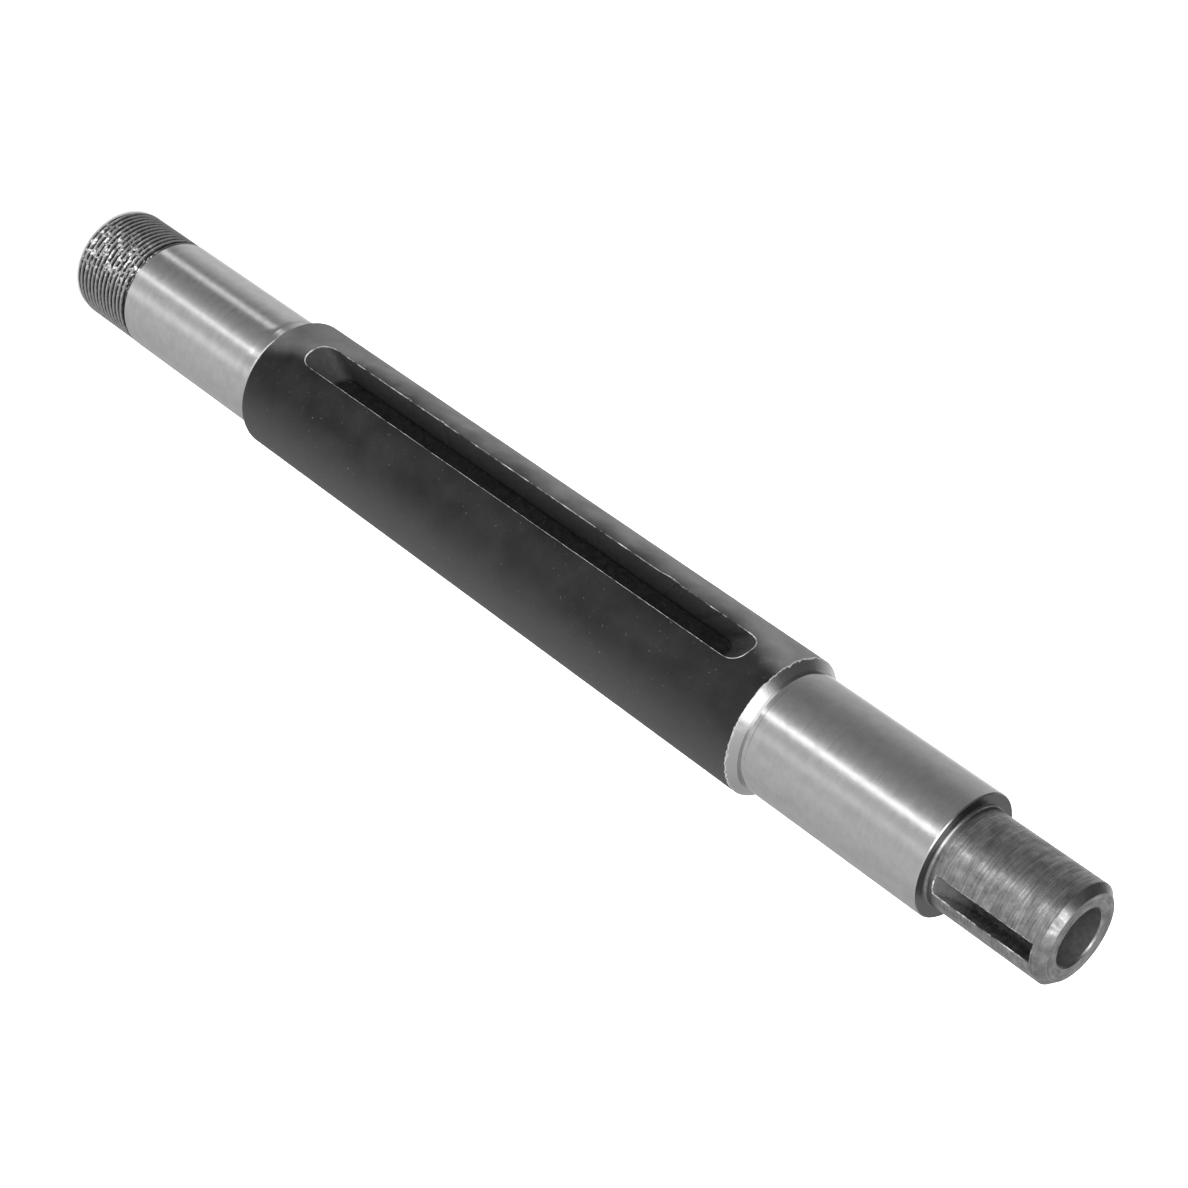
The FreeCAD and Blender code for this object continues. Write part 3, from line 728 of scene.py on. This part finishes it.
def milledSteel(name, dark, light, metal, rough, axis, deep, shallow):
    # milled or drilled, then blackened: dull, with painted shade that darkens it where it lies deep
    # along an axis, and small bright torn specks
    material, tree, surface, place = newMaterial(name)
    surface.inputs["Metallic"].default_value = metal
    surface.inputs["Specular IOR Level"].default_value = 0.3
    mottle = addNode(tree, "ShaderNodeTexNoise",
                     {"Vector": place, "Scale": 1 / patterns["keywayPatches"], "Detail": 6, "Roughness": 0.7})
    fleck = addNode(tree, "ShaderNodeTexNoise",
                    {"Vector": place, "Scale": 1 / patterns["keywayFlecks"], "Detail": 2, "Roughness": 0.5})
    height = addNode(tree, "ShaderNodeSeparateXYZ", {0: place}).outputs[axis]
    # painted shade: 0 deep inside, 1 towards the mouth or run-out, where more light falls
    lit = addNode(tree, "ShaderNodeMapRange", {0: height, 1: deep, 2: shallow})
    amount = addNode(tree, "ShaderNodeMath", {0: mottle.outputs[0], 1: 1.6, 2: lit.outputs[0]},
                     operation="MULTIPLY_ADD")
    share = addNode(tree, "ShaderNodeMapRange", {0: amount.outputs[0], 1: 0.6, 2: 2.0})
    tone = addNode(tree, "ShaderNodeValToRGB", {0: share.outputs[0]},
                   stops=[(0, hexColour(dark)), (1, hexColour(light))])
    bright = addNode(tree, "ShaderNodeMapRange", {0: fleck.outputs[0], 1: 0.675, 2: 0.75, 4: 0.5})
    colour = addNode(tree, "ShaderNodeMix", {0: bright.outputs[0], 6: tone.outputs[0], 7: hexColour("8c8c8c")},
                     data_type="RGBA")
    dull = addNode(tree, "ShaderNodeMapRange",
                   {0: mottle.outputs[0], 1: 0.3, 2: 0.7, 3: rough, 4: rough + 0.15})
    bump = addNode(tree, "ShaderNodeBump",
                   {"Height": mottle.outputs[0], "Strength": 1, "Distance": reliefs["milled"] * mm})
    connect(tree, surface, {"Base Color": colour.outputs[2], "Roughness": dull.outputs[0],
                            "Normal": bump.outputs[0]})
    return material


def rubbedEdgeAndHighlight():
    # the milled corner, rubbed bare: a thin broken line of bare steel, painted bright as a highlight
    material, tree, surface, place = newMaterial("rubbed steel edge with painted highlight")
    surface.inputs["Roughness"].default_value = 0.42
    worn = addNode(tree, "ShaderNodeTexNoise",
                   {"Vector": place, "Scale": 1 / patterns["rubbedDashes"], "Detail": 6, "Roughness": 0.8})
    # the edge towards +X is the brighter of the two
    across = addNode(tree, "ShaderNodeSeparateXYZ", {0: place}).outputs[0]
    side = addNode(tree, "ShaderNodeMapRange", {0: across, 1: -1, 2: 1, 3: -0.035, 4: 0.06})
    shown = addNode(tree, "ShaderNodeMath", {0: worn.outputs[0], 1: side.outputs[0]}, operation="ADD")
    # and the spigot's edges are duller than the body's
    height = addNode(tree, "ShaderNodeSeparateXYZ", {0: place}).outputs[2]
    duller = addNode(tree, "ShaderNodeMapRange", {0: height, 1: bodyHigh, 2: bodyHigh + 1, 4: 0.08})
    shown = addNode(tree, "ShaderNodeMath", {0: shown.outputs[0], 1: duller.outputs[0]}, operation="SUBTRACT")
    # painted highlight: the rubbed bare steel is painted up to near white, so the line shows bright from any side
    tone = addNode(tree, "ShaderNodeValToRGB", {0: shown.outputs[0]},
                   stops=[(0.4, hexColour("444444")), (0.5, hexColour("b0b0b0")), (0.6, hexColour("e6e6e6"))])
    metal = addNode(tree, "ShaderNodeMapRange", {0: shown.outputs[0], 1: 0.36, 2: 0.6, 3: 0.7, 4: 0.35})
    bump = addNode(tree, "ShaderNodeBump",
                   {"Height": worn.outputs[0], "Strength": 1, "Distance": reliefs["rubbed"] * mm})
    connect(tree, surface, {"Base Color": tone.outputs[0], "Metallic": metal.outputs[0],
                            "Normal": bump.outputs[0]})
    return material


materials = {
    "scale": blackMillScale(),
    "ground": groundSteel(),
    "turned": turnedSteel(),
    "thread": cutThreadSteel(),
    # painted shade in the keyways and the bore: each is darker deep inside and lighter towards its mouth
    "milled": milledSteel("milled keyway steel", "060606", "323232", 0.1, 0.5, 1, -11.15, -11.75),
    "slot": milledSteel("spigot keyway steel with painted shade", "151515", "505050", 0.0, 0.6, 2, 359, 353),
    "burr": rubbedEdgeAndHighlight(),
    "bore": milledSteel("drilled steel", "2c2c2c", "747474", 0.55, 0.36, 2, 345, 383),
}
print("materials:", len(materials))

shaft = buildShaft()
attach(shaft, "root")
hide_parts("steering_shaft")

studio = {
    "floorHalf": 20,         # metres
    # brightness round the shaft by compass direction in degrees from +X: low, and above head height
    "low": [(-180, 0.52), (-157, 0.39), (-141, 0.28), (-118, 0.24), (-93, 0.33), (-78, 0.45), (-70, 0.75),
            (-54, 0.75), (-46, 0.62), (-36, 0.68), (-25, 0.84), (-13, 0.64), (4, 0.70), (50, 0.58),
            (82, 0.53), (114, 0.46), (122, 0.70), (130, 0.93), (140, 0.93), (155, 0.57),
            (170, 0.54), (180, 0.52)],
    "high": [(-180, 0.10), (-125, 0.10), (-108, 0.15), (-92, 2.1), (-60, 3.0), (-30, 2.1), (-18, 0.75),
             (60, 0.6), (85, 0.45), (108, 0.55), (138, 0.55), (155, 0.12), (180, 0.10)],
    "highFrom": (2, 18),     # degrees above the horizon over which one gives way to the other
    # soft strips of light: compass direction, half width, lowest and highest elevation, brightness
    "strips": [(-61.5, 6, -38, 5, 2.2), (-61.5, 5, -90, -38, 1.4), (-125.5, 10, -90, -39, 1.1),
               (-20, 17, -90, -38, 0.30), (-29, 9, -38, 5, 0.12), (186, 42, -90, -38, 0.20)],
    "stripFade": 3,          # degrees over which a strip's foot and head fade
    "backdrop": 1.0,
    "sun": 5.0,
    "sunWidth": 60,          # degrees across, for soft shadows
    "camera": (0.314637, -0.494950, 0.615818),
    "right": (-0.733487, 0.078598, 0.675144),
    "up": (-0.515036, -0.712453, -0.476602),
    "back": (0.443548, -0.697305, 0.563055),
    "lens": 81.2285,
    "sensor": 36,
    "clip": (0.01, 100),
}


def addCamera():
    s = studio
    camera = bpy.data.objects.new("camera", bpy.data.cameras.new("camera"))
    camera.data.lens = s["lens"]
    camera.data.sensor_width = s["sensor"]
    camera.data.clip_start, camera.data.clip_end = s["clip"]
    turn = Matrix((s["right"], s["up"], s["back"])).transposed()
    camera.matrix_world = Matrix.Translation(s["camera"]) @ turn.to_4x4()
    bpy.context.scene.collection.objects.link(camera)
    bpy.context.scene.camera = camera
    bpy.context.scene.view_settings.view_transform = "Standard"


def addFloor():
    bm = bmesh.new()
    bmesh.ops.create_grid(bm, x_segments=1, y_segments=1, size=studio["floorHalf"])
    floor = meshObject("floor", bm)
    floor.visible_glossy = False      # the metal mirrors the soft surroundings instead
    material, _, surface, _ = newMaterial("pale paper")
    surface.inputs["Base Color"].default_value = hexColour("f0f0f0")
    surface.inputs["Roughness"].default_value = 0.9
    floor.data.materials.append(material)
    lamp = bpy.data.lights.new("overhead", "SUN")
    lamp.energy = studio["sun"]
    lamp.angle = math.radians(studio["sunWidth"])
    sun = bpy.data.objects.new("overhead", lamp)
    sun.visible_glossy = False
    bpy.context.scene.collection.objects.link(sun)


def addSurroundings():
    s = studio
    world = bpy.data.worlds.new("studio")
    bpy.context.scene.world = world
    world.use_nodes = True
    tree = world.node_tree
    tree.nodes.clear()
    axes = addNode(tree, "ShaderNodeSeparateXYZ", {0: addNode(tree, "ShaderNodeTexCoord").outputs["Generated"]})
    compass = addNode(tree, "ShaderNodeMath", {0: axes.outputs[1], 1: axes.outputs[0]}, operation="ARCTAN2")
    turn = addNode(tree, "ShaderNodeMath", {0: compass.outputs[0]}, operation="DEGREES").outputs[0]
    rise = addNode(tree, "ShaderNodeMath", {0: axes.outputs[2]}, operation="ARCSINE")
    rise = addNode(tree, "ShaderNodeMath", {0: rise.outputs[0]}, operation="DEGREES").outputs[0]
    share = addNode(tree, "ShaderNodeMapRange", {0: turn, 1: -180, 2: 180})
    peak = max(value for _, value in s["low"] + s["high"])
    rings = [addNode(tree, "ShaderNodeValToRGB", {0: share.outputs[0]},
                     stops=[((angle + 180) / 360, value / peak) for angle, value in s[part]])
             for part in ("low", "high")]
    above = addNode(tree, "ShaderNodeMapRange", {0: rise, 1: s["highFrom"][0], 2: s["highFrom"][1]})
    ring = addNode(tree, "ShaderNodeMix", {0: above.outputs[0], 2: rings[0].outputs[0], 3: rings[1].outputs[0]})
    total = addNode(tree, "ShaderNodeMath", {0: ring.outputs[0], 1: peak}, operation="MULTIPLY")
    for direction, half, lowest, highest, value in s["strips"]:
        aside = addNode(tree, "ShaderNodeMath", {0: turn, 1: direction}, operation="SUBTRACT")
        aside = addNode(tree, "ShaderNodeMath", {0: aside.outputs[0], 1: 180}, operation="PINGPONG")
        across = addNode(tree, "ShaderNodeMapRange", {0: aside.outputs[0], 1: half, 2: 0, 4: value},
                         interpolation_type="SMOOTHSTEP")
        fade = s["stripFade"]
        foot = addNode(tree, "ShaderNodeMapRange", {0: rise, 1: lowest - fade, 2: lowest + fade})
        head = addNode(tree, "ShaderNodeMapRange", {0: rise, 1: highest + fade, 2: highest - fade})
        part = addNode(tree, "ShaderNodeMath", {0: across.outputs[0], 1: foot.outputs[0]}, operation="MULTIPLY")
        total = addNode(tree, "ShaderNodeMath", {0: part.outputs[0], 1: head.outputs[0], 2: total.outputs[0]},
                        operation="MULTIPLY_ADD")
    seen = addNode(tree, "ShaderNodeLightPath")
    shown = addNode(tree, "ShaderNodeMix",
                    {0: seen.outputs["Is Camera Ray"], 2: total.outputs[0], 3: s["backdrop"]})
    glow = addNode(tree, "ShaderNodeBackground", {"Color": shown.outputs[0]})
    addNode(tree, "ShaderNodeOutputWorld", {0: glow.outputs[0]})


addCamera()
addFloor()
addSurroundings()
print("studio: camera, floor, light")
